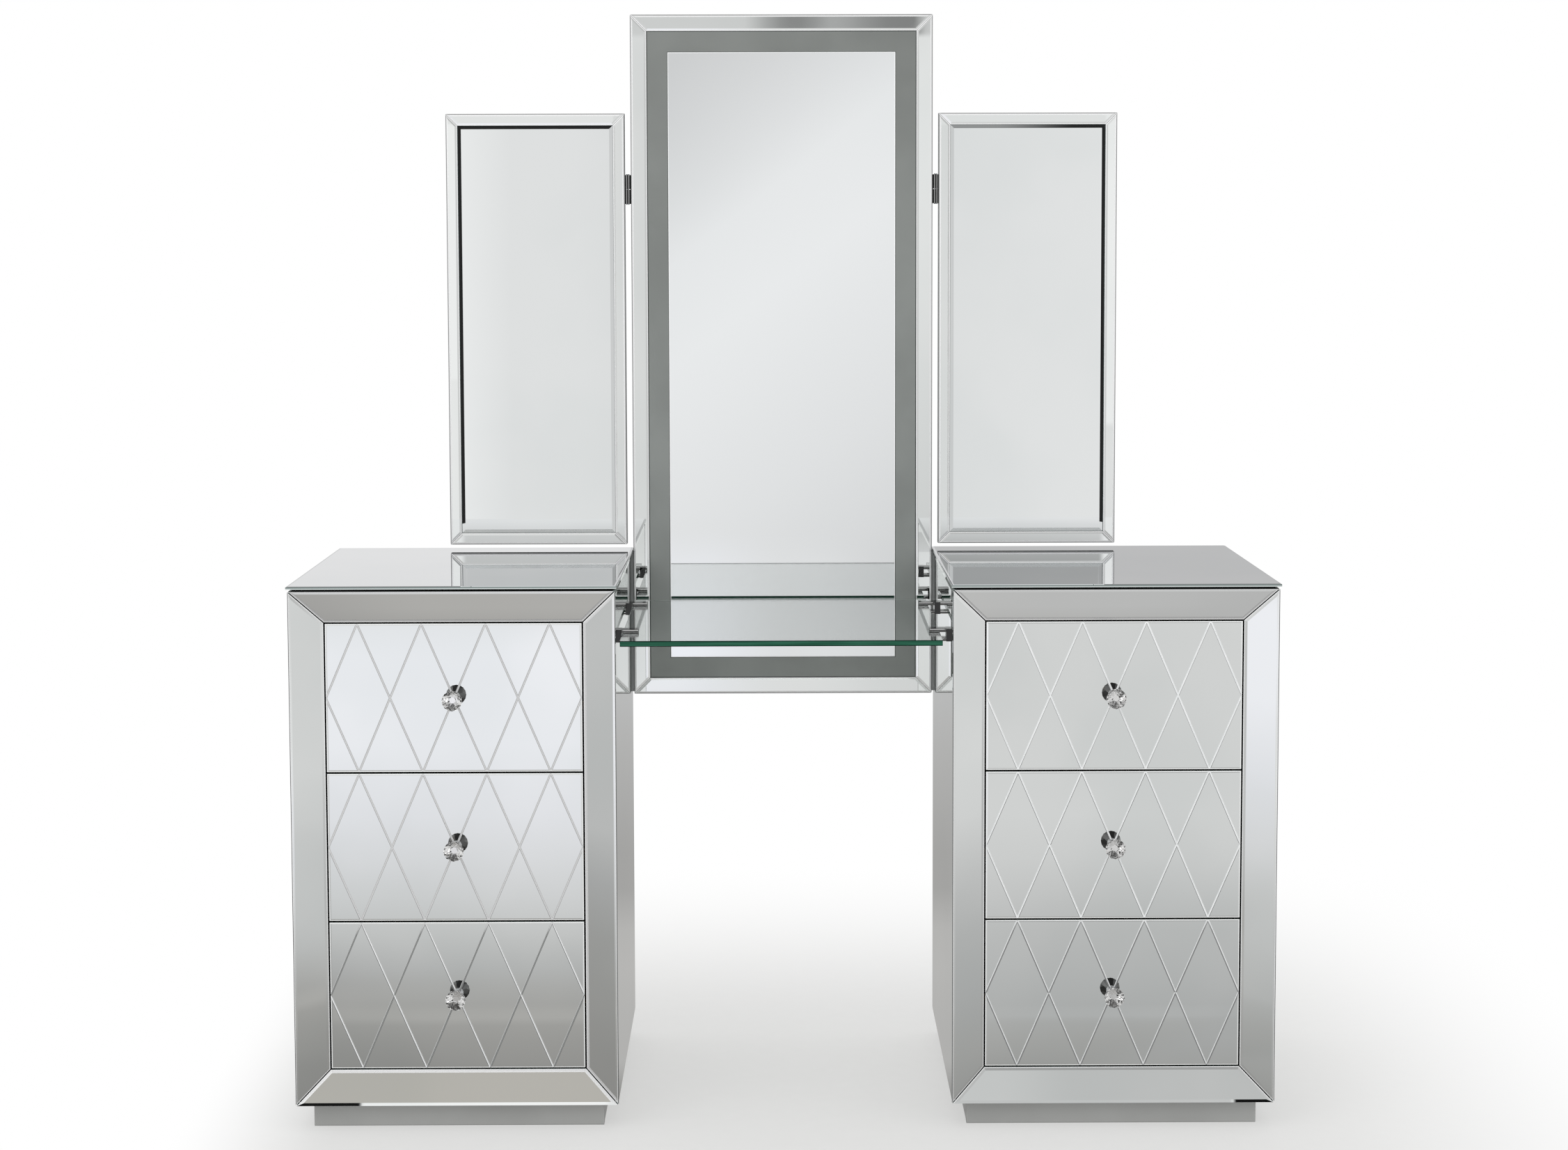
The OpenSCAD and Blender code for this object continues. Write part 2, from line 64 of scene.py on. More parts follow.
class Tree:
    """Short names for building a node tree."""

    def __init__(self, owner):
        owner.use_nodes = True
        self.tree = owner.node_tree
        self.tree.nodes.clear()

    def add(self, kind, inputs=None, **settings):
        node = self.tree.nodes.new(kind)
        for name, value in settings.items():
            setattr(node, name, value)
        for key, value in (inputs or {}).items():
            self.put(node.inputs[key], value)
        return node

    def put(self, socket, value):
        if isinstance(value, bpy.types.NodeSocket):
            self.tree.links.new(value, socket)
        else:
            socket.default_value = value

    def math(self, operation, *values):
        node = self.add("ShaderNodeMath", operation=operation)
        for i, value in enumerate(values):
            self.put(node.inputs[i], value)
        return node.outputs[0]

    def share(self, value, low, high):
        """How far a value lies from one bound (0) to the other (1)."""
        return self.math("DIVIDE", self.math("SUBTRACT", value, low), high - low)

    def mix(self, factor, a, b):
        node = self.add("ShaderNodeMix", data_type="RGBA")
        for key, kind, value in (("Factor", "VALUE", factor), ("A", "RGBA", a), ("B", "RGBA", b)):
            socket = next(s for s in node.inputs if s.name == key and s.type == kind)
            self.put(socket, value)
        return next(s for s in node.outputs if s.type == "RGBA")

    def range(self, value, low, high, start=0.0, end=1.0, kind="SMOOTHSTEP"):
        node = self.add("ShaderNodeMapRange", interpolation_type=kind)
        for i, v in enumerate((value, low, high, start, end)):
            self.put(node.inputs[i], v)
        return node.outputs[0]

    def ramp(self, value, stops):
        """Colour ramp over stops (position, colour), of which Blender allows 32."""
        low, high = stops[0][0], stops[-1][0]
        node = self.add("ShaderNodeValToRGB", {0: self.range(value, low, high, kind="LINEAR")})
        points = node.color_ramp.elements
        while len(points) < len(stops):
            points.new(0.5)
        for point, (at, colour) in zip(points, stops):
            point.position = (at - low) / (high - low)
            point.color = colour
        return node.outputs[0]

    def greys(self, value, stops):
        """Ramp of greys over stops (position, level) or (position, level, warmth)."""
        return self.ramp(value, [(at, tone(*level)) for at, *level in stops])

    def coords(self, kind="Object"):
        return self.add("ShaderNodeTexCoord").outputs[kind]

    def normal(self):
        return self.add("ShaderNodeNewGeometry").outputs["Normal"]

    def split(self, vector):
        return self.add("ShaderNodeSeparateXYZ", {0: vector}).outputs

    def scaled(self, vector, scale):
        return self.add("ShaderNodeMapping", {"Vector": vector, "Scale": scale}).outputs[0]

    def noise(self, vector, scale, detail=2.0, roughness=0.5):
        return self.add("ShaderNodeTexNoise", {
            "Vector": vector, "Scale": scale, "Detail": detail, "Roughness": roughness}).outputs[0]

    def bump(self, height, strength, distance):
        return self.add("ShaderNodeBump", {
            "Height": height, "Strength": strength, "Distance": distance}).outputs[0]

    def surface(self, shader, kind="ShaderNodeOutputMaterial"):
        self.tree.links.new(shader, self.add(kind).inputs["Surface"])


def material(name):
    made = bpy.data.materials.new(name)
    return made, Tree(made)


def principled(made, t, inputs):
    """Finishes a material with a Principled shader."""
    t.surface(t.add("ShaderNodeBsdfPrincipled", inputs).outputs[0])
    return made


def local_box(name):
    """Lowest and highest corner of a node in its own coordinates, the same in every pose."""
    points = [v.co for v in nodes[name].data.vertices]
    return [Vector([pick(p[i] for p in points) for i in range(3)]) for pick in (min, max)]


# ---------- mirrors and glass ----------

def mirror_glass(name, tint, dark_tint, waviness=0.00025):
    """Silvered glass: a trace of cloudiness, wiping haze in the roughness, and sheet waviness."""
    made, t = material(name)
    at = t.coords()
    cloud = t.noise(at, 3.5, 3)
    haze = t.noise(t.scaled(at, (1, 1, 3)), 14, 4, 0.6)
    wave = t.noise(at, 2.2, 1)
    return principled(made, t, {
        "Base Color": t.mix(t.range(cloud, 0.35, 0.65), rgb(*tint), rgb(*dark_tint)),
        "Metallic": 1.0,
        "Roughness": t.range(haze, 0.45, 0.8, 0.006, 0.03),
        "Normal": t.bump(wave, 1.0, waviness)})


def frosted_mirror():
    """The centre sheet: silvered, but for a frosted band."""
    made, t = material("centre_mirror_with_band")
    low, high = local_box(CENTRE_RING)
    at = t.coords()
    x, _, z = t.split(at)
    across = t.math("ABSOLUTE", x)
    up = t.math("ABSOLUTE", t.math("SUBTRACT", z, (low.z + high.z) / 2))
    # in metres: the band starts this far inside the strips' outer edge and is this wide
    inset, width = 0.0241, 0.0327
    # dark lines along its outer and inner edge, and a white line round the silver inside it as a painted
    # highlight
    outer_line, inner_line, white_line = 0.0018, 0.0009, 0.001
    # half the width over which one finish turns into the next
    blur = 0.0003
    half_x, half_z = high.x - inset, (high.z - low.z) / 2 - inset

    def inside(margin):
        x_edge, z_edge = half_x - margin, half_z - margin
        return t.math("MULTIPLY",
                      t.range(across, x_edge - blur, x_edge + blur, 1, 0),
                      t.range(up, z_edge - blur, z_edge + blur, 1, 0))

    def between(outer, inner):
        return t.math("MULTIPLY", inside(outer), t.math("SUBTRACT", 1.0, inside(inner)))

    band = between(0, width)
    core = between(outer_line, width - inner_line)
    halo = between(width, width + white_line)
    cloud = t.noise(at, 6, 3, 0.55)
    grit = t.noise(at, 1400, 2)
    soft = t.noise(at, 1.6, 1)
    # painted shade and light: the frost is darker towards the top and lighter towards the bottom
    upper = t.range(z, low.z + 0.1, high.z - 0.1, 0, 1, "LINEAR")
    pale = t.mix(upper, rgb(150, 154, 151), rgb(129, 132, 129))
    deep = t.mix(upper, rgb(138, 142, 139), rgb(117, 120, 117))
    frost = t.mix(t.range(cloud, 0.3, 0.7), deep, pale)
    frost = t.mix(core, rgb(72, 77, 74), frost)
    silver = t.mix(t.range(soft, 0.35, 0.65), rgb(244, 246, 247), rgb(239, 242, 243))
    silver = t.mix(halo, silver, WHITE)
    haze = t.range(t.noise(at, 14, 4, 0.6), 0.45, 0.8, 0.005, 0.02)
    sand = t.math("MULTIPLY", grit, t.math("MULTIPLY", band, 0.02))
    height = t.math("ADD", sand, t.noise(at, 2.2, 1))
    return principled(made, t, {
        "Base Color": t.mix(band, silver, frost),
        "Metallic": t.math("SUBTRACT", 1.0, t.math("ADD", band, t.math("MULTIPLY", halo, 0.8))),
        "Roughness": t.math("ADD", t.math("MULTIPLY", band, 0.5), haze),
        "Normal": t.bump(height, 1.0, 0.0002)})


def edge_distances(t, ring):
    """Distances of a point from the upright and from the level outer edges of a ring of strips."""
    low, high = local_box(ring)
    x, _, z = t.split(t.coords())
    off = []
    for value, a, b in ((x, low.x, high.x), (z, low.z, high.z)):
        from_middle = t.math("ABSOLUTE", t.math("SUBTRACT", value, (a + b) / 2))
        off.append(t.math("SUBTRACT", (b - a) / 2, from_middle))
    return off


def outer_distance(t, ring):
    """Distance of a point from the outer edge of its strip."""
    return t.math("MINIMUM", *edge_distances(t, ring))


def cut_distance(t, ring):
    """Distance of a point from the inner edge or the mitre of its strip, whichever is nearer."""
    low, high = local_box(ring)
    off = [(min(v.co.x - low.x, high.x - v.co.x), min(v.co.z - low.z, high.z - v.co.z))
           for v in nodes[ring].data.vertices]
    reach = max(min(pair) for pair in off)
    slit = min(abs(a - b) for a, b in off)
    dx, dz = edge_distances(t, ring)
    mitre = t.math("SUBTRACT", t.math("ABSOLUTE", t.math("SUBTRACT", dx, dz)), slit)
    mitre = t.math("DIVIDE", mitre, math.sqrt(2))
    return t.math("MINIMUM", mitre, t.math("SUBTRACT", reach, t.math("MINIMUM", dx, dz)))


def lined_bevel(name, distance, ring, width, painted_lines, clear):
    """Polished bevel: painted highlight and painted shade lines along its sharp edge, then clear silver
    from a share of its width on.
    """
    made, t = material(name)
    across = t.math("DIVIDE", distance(t, ring), width)
    plain = t.range(across, clear - 0.08, clear + 0.08)
    haze = t.noise(t.coords(), 25, 2)
    polish = t.range(plain, 0, 1, 0.26, 0.05, "LINEAR")
    return principled(made, t, {
        "Base Color": t.mix(plain, t.greys(across, painted_lines), rgb(240, 242, 241)),
        "Metallic": t.range(plain, 0, 1, 0.4, 1.0, "LINEAR"),
        "Roughness": t.math("ADD", polish, t.math("MULTIPLY", haze, 0.05))})


def outer_bevel(name, ring, width, painted_lines, clear):
    return lined_bevel(f"{name}_outer_bevel", outer_distance, ring, width, painted_lines, clear)


def cut_bevel(name, ring, width, painted_lines, clear):
    return lined_bevel(f"{name}_cut_bevel", cut_distance, ring, width, painted_lines, clear)


def soft_bevel():
    """Lower bevel of a wing's sheet: bright, with a slow change of polish that blurs what it mirrors."""
    made, t = material("soft_bevel")
    colour = (236, 239, 238)
    slow = t.noise(t.coords(), 25, 3, 0.6)
    return principled(made, t, {
        "Base Color": t.mix(t.range(slow, 0.3, 0.7), rgb(*colour), scaled_rgb(colour, 0.98)),
        "Metallic": 0.7,
        "Roughness": t.range(slow, 0.3, 0.7, 0.2125, 0.2875)})


def drawer_rim():
    """Bevel round a drawer's mirror: a white line along the sharp edge as a painted highlight, clear
    silver inside it.
    """
    made, t = material("drawer_rim_bevel")
    low, _ = local_box("left_top_front")
    flank = [v.co for v in nodes["left_top_front"].data.vertices if v.co.x - low.x < 1e-5]
    depth = t.share(t.split(t.coords())[1], low.y, min(p.y for p in flank))
    white = t.range(depth, 0.4, 0.55)
    haze = t.noise(t.coords(), 25, 2)
    polish = t.range(white, 0, 1, 0.05, 0.25, "LINEAR")
    return principled(made, t, {
        "Base Color": t.mix(white, rgb(238, 240, 239), rgb(252, 253, 252)),
        "Metallic": t.range(white, 0, 1, 1.0, 0.3, "LINEAR"),
        "Roughness": t.math("ADD", polish, t.math("MULTIPLY", haze, 0.05))})


def cut_groove():
    """Walls of an engraved groove, with painted light and shade by side, by height and by which way a
    wall faces.

    On the right they are white as a painted highlight, but for a grey rim of painted shade on the wall
    that faces up, which is all grey in the lowest drawer. On the left the rims are painted grey and the
    middle pale; in the lowest drawer the middle is white, and painted grey as shade in the grooves that
    run up to the right."""
    made, t = material("cut_groove")
    at = t.coords()
    low, high = local_box("left_bottom_front")[0], local_box("left_top_front")[1]
    x, y, z = t.split(at)
    depth = t.math("SUBTRACT", y, low.y)
    slow = t.noise(at, 30, 2)
    up = t.share(z, low.z, high.z)
    # painted light and shade: the walls are toned by which way they face
    nx, _, nz = t.split(t.normal())
    upper = t.range(nz, -0.02, 0.02, kind="LINEAR")
    right = t.range(x, -0.001, 0.001, kind="LINEAR")
    lowest = t.range(up, 0.3, 0.34, 1, 0)
    rising = t.range(t.math("MULTIPLY", nx, nz), -0.005, 0.005, 1, 0, kind="LINEAR")
    # painted shade: grey in the grooves that run up to the right in the lowest drawer, on the left
    rising_shade = t.math("MULTIPLY", t.math("MULTIPLY", lowest, rising), t.math("SUBTRACT", 1.0, right))
    white = t.mix(t.range(slow, 0.3, 0.7), rgb(251, 252, 252), rgb(242, 244, 244))
    middle = t.mix(rising_shade, white, rgb(150, 152, 150))
    middle = t.mix(lowest, tone(222), middle)
    inner = t.range(depth, 0.00036, 0.00048)
    upper_rim = t.greys(up, [(0, 120), (0.3, 126), (0.38, 172), (0.66, 178), (0.72, 184), (1, 186)])
    lower_rim = t.greys(up, [(0, 214), (0.3, 214), (0.38, 206), (0.66, 204), (0.72, 186), (1, 184)])
    on_left = t.mix(inner, t.mix(upper, lower_rim, upper_rim), middle)
    grey = t.greys(up, [(0, 130), (0.3, 130), (0.38, 136), (0.66, 138), (0.72, 176), (1, 178)])
    on_right = t.mix(upper, white, t.mix(inner, grey, t.mix(lowest, white, grey)))
    return principled(made, t, {
        "Base Color": t.mix(right, on_left, on_right),
        "Metallic": 0.2,
        "Roughness": t.range(slow, 0.3, 0.7, 0.32, 0.4)})


def top_edge():
    """Polished edges of a pedestal's top mirror: grey-green above, pale below."""
    made, t = material("top_mirror_edge")
    low, high = local_box("left_top_mirror")
    at = t.coords()
    grain = t.noise(at, 300, 3, 0.6)
    up = t.share(t.split(at)[2], low.z, high.z)
    return principled(made, t, {
        "Base Color": t.ramp(up, [
            (0, rgb(196, 203, 201)), (0.34, rgb(200, 207, 205)), (0.46, rgb(122, 136, 133)),
            (0.8, rgb(112, 126, 123)), (1, rgb(160, 170, 168))]),
        "Metallic": 0.3,
        "Roughness": t.range(grain, 0.3, 0.7, 0.12, 0.25),
        "Coat Weight": 0.5})


def sheet_edge():
    """Ground edge of a mirror sheet: dark green-grey with fine grinding marks."""
    made, t = material("sheet_edge")
    colour = (58, 74, 70)
    marks = t.noise(t.coords(), 420, 3, 0.7)
    return principled(made, t, {
        "Base Color": t.mix(t.range(marks, 0.3, 0.7), rgb(*colour), scaled_rgb(colour, 1.5)),
        "Roughness": t.range(marks, 0.3, 0.7, 0.25, 0.5),
        "Coat Weight": 0.4,
        "Normal": t.bump(marks, 0.3, 0.0002)})


def back_paint():
    """Grey protective paint on the back of a mirror sheet."""
    made, t = material("mirror_back_paint")
    grain = t.noise(t.coords(), 260, 4, 0.6)
    return principled(made, t, {
        "Base Color": t.mix(t.range(grain, 0.35, 0.65), rgb(98, 100, 102), rgb(116, 118, 120)),
        "Roughness": 0.65,
        "Normal": t.bump(grain, 0.25, 0.0003)})


def crystal_glass():
    """Clear crystal with patches of faint haze."""
    made, t = material("clear_crystal")
    haze = t.noise(t.coords(), 300, 2)
    return principled(made, t, {
        "Base Color": rgb(252, 252, 251),
        "Roughness": t.range(haze, 0.4, 0.8, 0.0, 0.02),
        "IOR": 1.6,
        "Transmission Weight": 1.0})


def crystal_foil():
    """Back facets of a crystal: silver foil from inside, dark lacquer outside, with each facet painted
    lighter or darker as a painted reflection.
    """
    made, t = material("crystal_foil")
    wear = t.noise(t.coords(), 300, 2, 0.6)
    geometry = t.add("ShaderNodeNewGeometry").outputs
    x, _, z = t.split(geometry["Normal"])
    # painted reflections: the tone goes up and down round the stone, from facet to facet
    turn = t.math("MULTIPLY", t.math("ARCTAN2", z, x), 3.0)
    facet = t.math("SINE", t.math("ADD", turn, 0.5))
    facet = t.math("ADD", facet, t.range(wear, 0.3, 0.7, -0.1, 0.1, "LINEAR"))
    lacquer = t.greys(facet, [(-1, 62), (-0.3, 84), (0.3, 112), (1, 138)])
    foil = t.greys(facet, [(-1, 74), (-0.9, 110), (-0.75, 220), (0, 243), (1, 250)])
    return principled(made, t, {
        "Base Color": t.mix(geometry["Backfacing"], lacquer, foil),
        "Metallic": 1.0,
        "Roughness": t.range(wear, 0.3, 0.7, 0.03, 0.08)})


def shelf_glass():
    """Clear float glass with a faint green cast."""
    made, t = material("shelf_float_glass")
    haze = t.noise(t.coords(), 6, 3)
    return principled(made, t, {
        "Base Color": rgb(251, 254, 253),
        "Roughness": t.range(haze, 0.45, 0.8, 0.0, 0.01),
        "IOR": 1.52,
        "Transmission Weight": 1.0})


def shelf_edge():
    """Polished front and side edges of the shelf: deep green, darker towards the two arrises."""
    made, t = material("shelf_polished_edge")
    low, high = local_box("glass_shelf")
    z = t.split(t.coords())[2]
    off = t.math("ABSOLUTE", t.math("SUBTRACT", z, (low.z + high.z) / 2))
    streaks = t.noise(t.scaled(t.coords(), (1, 1, 40)), 12, 3)
    body = t.mix(t.range(streaks, 0.3, 0.7), rgb(24, 74, 55), rgb(44, 100, 78))
    return principled(made, t, {
        "Base Color": t.mix(t.range(off, 0.0022, 0.0036), body, rgb(10, 34, 27)),
        "Roughness": t.range(streaks, 0.3, 0.7, 0.08, 0.16),
        "IOR": 1.52,
        "Specular IOR Level": 0.12})


def shelf_back_edge():
    """Back edge of the shelf, seen through the glass: a green line over a pale one."""
    made, t = material("shelf_back_edge")
    low, high = local_box("glass_shelf")
    at = t.coords()
    up = t.share(t.split(at)[2], low.z, high.z)
    grain = t.range(t.noise(at, 200, 2), 0.2, 0.8, -0.03, 0.03, "LINEAR")
    return principled(made, t, {
        "Base Color": t.ramp(t.math("ADD", up, grain), [
            (0, rgb(226, 236, 231)), (0.5, rgb(232, 241, 237)),
            (0.6, rgb(40, 88, 70)), (1, rgb(24, 62, 48))]),
        "Roughness": 0.1,
        "IOR": 1.52})


# ---------- paint, wood and metal ----------

def painted(name, colour, colour2, rough, metallic=0.0, grain_scale=900, coat=0.0, bump=0.15):
    """Sprayed paint with fine orange peel and slow tone changes."""
    made, t = material(name)
    at = t.coords()
    slow = t.noise(at, 5, 3)
    fine = t.noise(at, grain_scale, 2, 0.5)
    return principled(made, t, {
        "Base Color": t.mix(t.range(slow, 0.3, 0.7), rgb(*colour), rgb(*colour2)),
        "Metallic": metallic,
        "Roughness": t.range(fine, 0.3, 0.7, rough * 0.85, rough * 1.15),
        "Coat Weight": coat,
        "Normal": t.bump(fine, bump, 0.0002)})


def wood(name, dark, light, stretch, rough):
    """Straight-grained wood; stretch squeezes the rings across the grain."""
    made, t = material(name)
    at = t.scaled(t.coords(), stretch)
    warp = t.noise(at, 3, 2)
    rings = t.add("ShaderNodeTexWave", {
        "Vector": at, "Scale": 7.0, "Distortion": 6.0, "Detail": 3.0, "Detail Scale": 1.6},
        bands_direction="DIAGONAL").outputs[0]
    pores = t.noise(at, 60, 3, 0.7)
    figure = t.math("ADD", t.math("MULTIPLY", rings, 0.6), t.math("MULTIPLY", pores, 0.5))
    figure = t.math("ADD", figure, t.math("MULTIPLY", warp, 0.2))
    return principled(made, t, {
        "Base Color": t.mix(t.range(figure, 0.35, 0.95), rgb(*dark), rgb(*light)),
        "Roughness": t.range(pores, 0.3, 0.7, rough * 0.85, rough * 1.15),
        "Normal": t.bump(figure, 0.2, 0.0005)})


def polished_metal(name, colour, low, high):
    """Chrome or steel: faint polishing marks in the roughness."""
    made, t = material(name)
    at = t.coords()
    marks = t.noise(at, 350, 3, 0.6)
    cloud = t.noise(at, 40, 2)
    return principled(made, t, {
        "Base Color": t.mix(t.range(cloud, 0.3, 0.7), rgb(*colour), scaled_rgb(colour, 0.93)),
        "Metallic": 1.0,
        "Roughness": t.range(marks, 0.3, 0.7, low, high)})


def metal_with_painted_highlights(name, axis, stops, low, high):
    """Curved polished metal with painted highlights and painted dark reflections: its tone follows how
    far the surface leans along an axis.
    """
    made, t = material(name)
    marks = t.noise(t.coords(), 350, 3, 0.6)
    lean = t.split(t.normal())[axis]
    lean = t.math("ADD", lean, t.range(marks, 0.2, 0.8, -0.03, 0.03, "LINEAR"))
    return principled(made, t, {
        "Base Color": t.greys(lean, stops),
        "Metallic": 1.0,
        "Roughness": t.range(marks, 0.3, 0.7, low, high)})


# ---------- the materials ----------

MIRROR = mirror_glass("side_mirror_glass", (240, 243, 241), (234, 238, 236))
TOP_MIRROR = mirror_glass("top_mirror_glass", (237, 238, 240), (231, 233, 235))
# painted light: the top strip of a sloped frame gets a brighter copy of the strip glass
TOP_STRIP = mirror_glass("top_strip_glass", (249, 250, 249), (246, 247, 246), 0.0001)
STRIP = mirror_glass("strip_glass", (240, 242, 241), (234, 237, 236), 0.0001)
DRAWER = mirror_glass("drawer_front_glass", (240, 242, 241), (233, 236, 235), 0.0002)
WING = mirror_glass("wing_glass", (244, 246, 246), (239, 242, 242))
CENTRE = frosted_mirror()

# painted highlight and painted shade lines across a bevel, in place of what it mirrors, as (share,
# level): share 0 is its sharp edge, 1 where it meets the flat
FRAME_PAINTED_LINES = [(0, 84), (0.18, 92), (0.26, 244), (0.5, 244), (1, 244)]
RIM_PAINTED_LINES = [(0, 150), (0.34, 160), (0.44, 252), (1, 252)]
CENTRE_PAINTED_LINES = [(0, 104), (0.2, 112), (0.28, 222), (0.6, 226), (0.7, 252), (1, 252)]
CUT_PAINTED_LINES = [(0, 252), (0.4, 252), (1, 240)]
PALE_PAINTED_LINES = [(0, 252), (0.25, 252), (0.4, 226), (1, 224)]
WHITE_PAINTED_LINES = [(0, 252), (0.3, 252), (0.38, 236), (0.5, 246), (1, 250)]
TOP_PAINTED_LINES = [(0, 252), (0.24, 252), (0.34, 212), (0.6, 198), (1, 182)]
# widths of the bevels round the frame strips and the mirrors' rims, in metres
FRAME_BEVEL, RIM_BEVEL = 0.004, 0.0035
# a share past the end of the bevel, so that none of it is clear silver
NEVER = 2

OUTER, CUT, TOP_CUT = {}, {}, {}
for side in SIDES:
    ring = f"{side}_frame_strips"
    OUTER[ring] = outer_bevel(ring, ring, FRAME_BEVEL, FRAME_PAINTED_LINES, 0.42)
    CUT[ring] = cut_bevel(ring, ring, FRAME_BEVEL, CUT_PAINTED_LINES, 0.26)
    TOP_CUT[ring] = cut_bevel(f"{side}_top", ring, FRAME_BEVEL, TOP_PAINTED_LINES, NEVER)
    ring = f"{side}_wing_strips"
    OUTER[ring] = outer_bevel(ring, ring, RIM_BEVEL, RIM_PAINTED_LINES, NEVER)
    CUT[ring] = cut_bevel(ring, ring, RIM_BEVEL, CUT_PAINTED_LINES, 0.36)
OUTER[CENTRE_RING] = outer_bevel("centre", CENTRE_RING, RIM_BEVEL, CENTRE_PAINTED_LINES, NEVER)
CUT[CENTRE_RING] = cut_bevel("centre", CENTRE_RING, RIM_BEVEL, CUT_PAINTED_LINES, 0.36)
PALE_CUT = cut_bevel("pale", LEFT_FRAME, FRAME_BEVEL, PALE_PAINTED_LINES, NEVER)
WHITE_CUT = cut_bevel("white", LEFT_FRAME, FRAME_BEVEL, WHITE_PAINTED_LINES, NEVER)

SOFT_BEVEL = soft_bevel()
DRAWER_RIM = drawer_rim()
GROOVE = cut_groove()
EDGE = sheet_edge()
TOP_EDGE = top_edge()
BACK = back_paint()
CRYSTAL = crystal_glass()
FOIL = crystal_foil()
SHELF = shelf_glass()
SHELF_EDGE = shelf_edge()
SHELF_BACK = shelf_back_edge()

BLACK = painted("black_paint", (20, 20, 20), (28, 28, 28), 0.6, grain_scale=500)
SILVER = painted("silver_paint", (194, 195, 193), (184, 185, 183), 0.38, metallic=0.4)
RAIL = painted("rail_paint", (188, 189, 189), (176, 177, 177), 0.5, grain_scale=500)
TRAY = painted("tray_coating", (92, 94, 96), (80, 82, 84), 0.5, metallic=0.2)
PANEL = painted("hardboard_paint", (40, 38, 37), (30, 29, 28), 0.7, grain_scale=250, bump=0.4)
OPAL = painted("opal_sheet", (236, 236, 232), (228, 228, 224), 0.5, grain_scale=700)
RESIN = painted("light_bar_resin", (238, 232, 196), (228, 222, 186), 0.2, grain_scale=300, coat=0.5)
CASE = painted("case_plastic", (212, 212, 208), (200, 200, 197), 0.5, grain_scale=600)
PLASTIC = painted("inlet_plastic", (24, 24, 24), (32, 32, 32), 0.45, grain_scale=800)
DRAWER_WOOD = wood("stained_wood", (44, 38, 34), (72, 64, 58), (8, 1, 8), 0.5)
RUNNER = wood("waxed_wood", (168, 128, 86), (206, 170, 124), (10, 1, 10), 0.45)
CHROME = polished_metal("knob_chrome", (222, 223, 225), 0.03, 0.09)
STEEL = polished_metal("zinc_steel", (176, 178, 182), 0.15, 0.3)
# painted highlights and painted dark reflections in bands on the hinges and the shelf clamps
HINGE = metal_with_painted_highlights("hinge_plating", 0, [
    (-1, 60), (-0.72, 44), (-0.5, 190), (-0.38, 170), (-0.2, 52), (0.15, 60), (0.36, 150),
    (0.48, 205), (0.66, 48), (1, 60)], 0.12, 0.25)
CLAMP = metal_with_painted_highlights("clamp_chrome", 2, [
    (-1, 150), (-0.85, 238), (-0.6, 236), (-0.4, 70), (0.05, 62), (0.22, 92), (0.4, 246),
    (0.85, 240), (0.93, 104), (1, 112)], 0.03, 0.09)


# ---------- dressing the CAD nodes ----------

def to_front(n):
    return n.y < -FACING


def to_back(n):
    return n.y > FACING


def bevelled(n):
    return -FLAT < n.y < -FACING


def groove_wall(n):
    return to_front(n) and abs(n.x) > 0.3 and abs(n.z) > 0.1


def dress(name, *choices):
    """Gives a CAD node its materials; each choice is (material, test on a face's normal)."""
    mesh = nodes[name].data
    mesh.materials.clear()
    for made, _ in choices:
        mesh.materials.append(made)
    for face in mesh.polygons:
        n = face.normal
        for i, (_, test) in enumerate(choices):
            if test is None or test(n):
                face.material_index = i
                break


def dress_ring(name, slope=0.0):
    """Ring of strips that lean inwards by a slope: clear flats, and bevels told apart by place, each
    with its own painted highlight and shade lines; a sloped ring's top strip gets the brighter top strip
    glass as painted light.
    """
    left, right, down, up = (-1, 0), (1, 0), (0, -1), (0, 1)
    cuts = [CUT[name]]
    if slope:
        cuts.append(TOP_CUT[name])
    if name == LEFT_FRAME:
        cuts += [PALE_CUT, WHITE_CUT]
    # the top, right and bottom cuts get their own painted highlight and shade lines, where the ring has
    # them
    own_cut = {up: 1, right: 2, down: 3}
    flat, outer, back, edge, top, first_cut = range(6)
    mesh = nodes[name].data
    mesh.materials.clear()
    for made in (STRIP, OUTER[name], BACK, EDGE, TOP_STRIP, *cuts):
        mesh.materials.append(made)
    low, high = local_box(name)
    for face in mesh.polygons:
        n, c = face.normal, face.center
        if n.y > -FACING:
            face.material_index = back if to_back(n) else edge
            continue
        gaps = {left: c.x - low.x, right: high.x - c.x, down: c.z - low.z, up: high.z - c.z}
        out = min(gaps, key=gaps.get)
        lean = n.x * out[0] + n.z * out[1] + slope
        aside = abs(n.x * out[1]) + abs(n.z * out[0])
        if aside > LEAN or lean < -LEAN:
            kind = own_cut.get(out, 0)
            face.material_index = first_cut + (kind if kind < len(cuts) else 0)
        elif lean > LEAN and not (slope and out == down):
            face.material_index = outer
        else:
            face.material_index = top if slope and out == up else flat


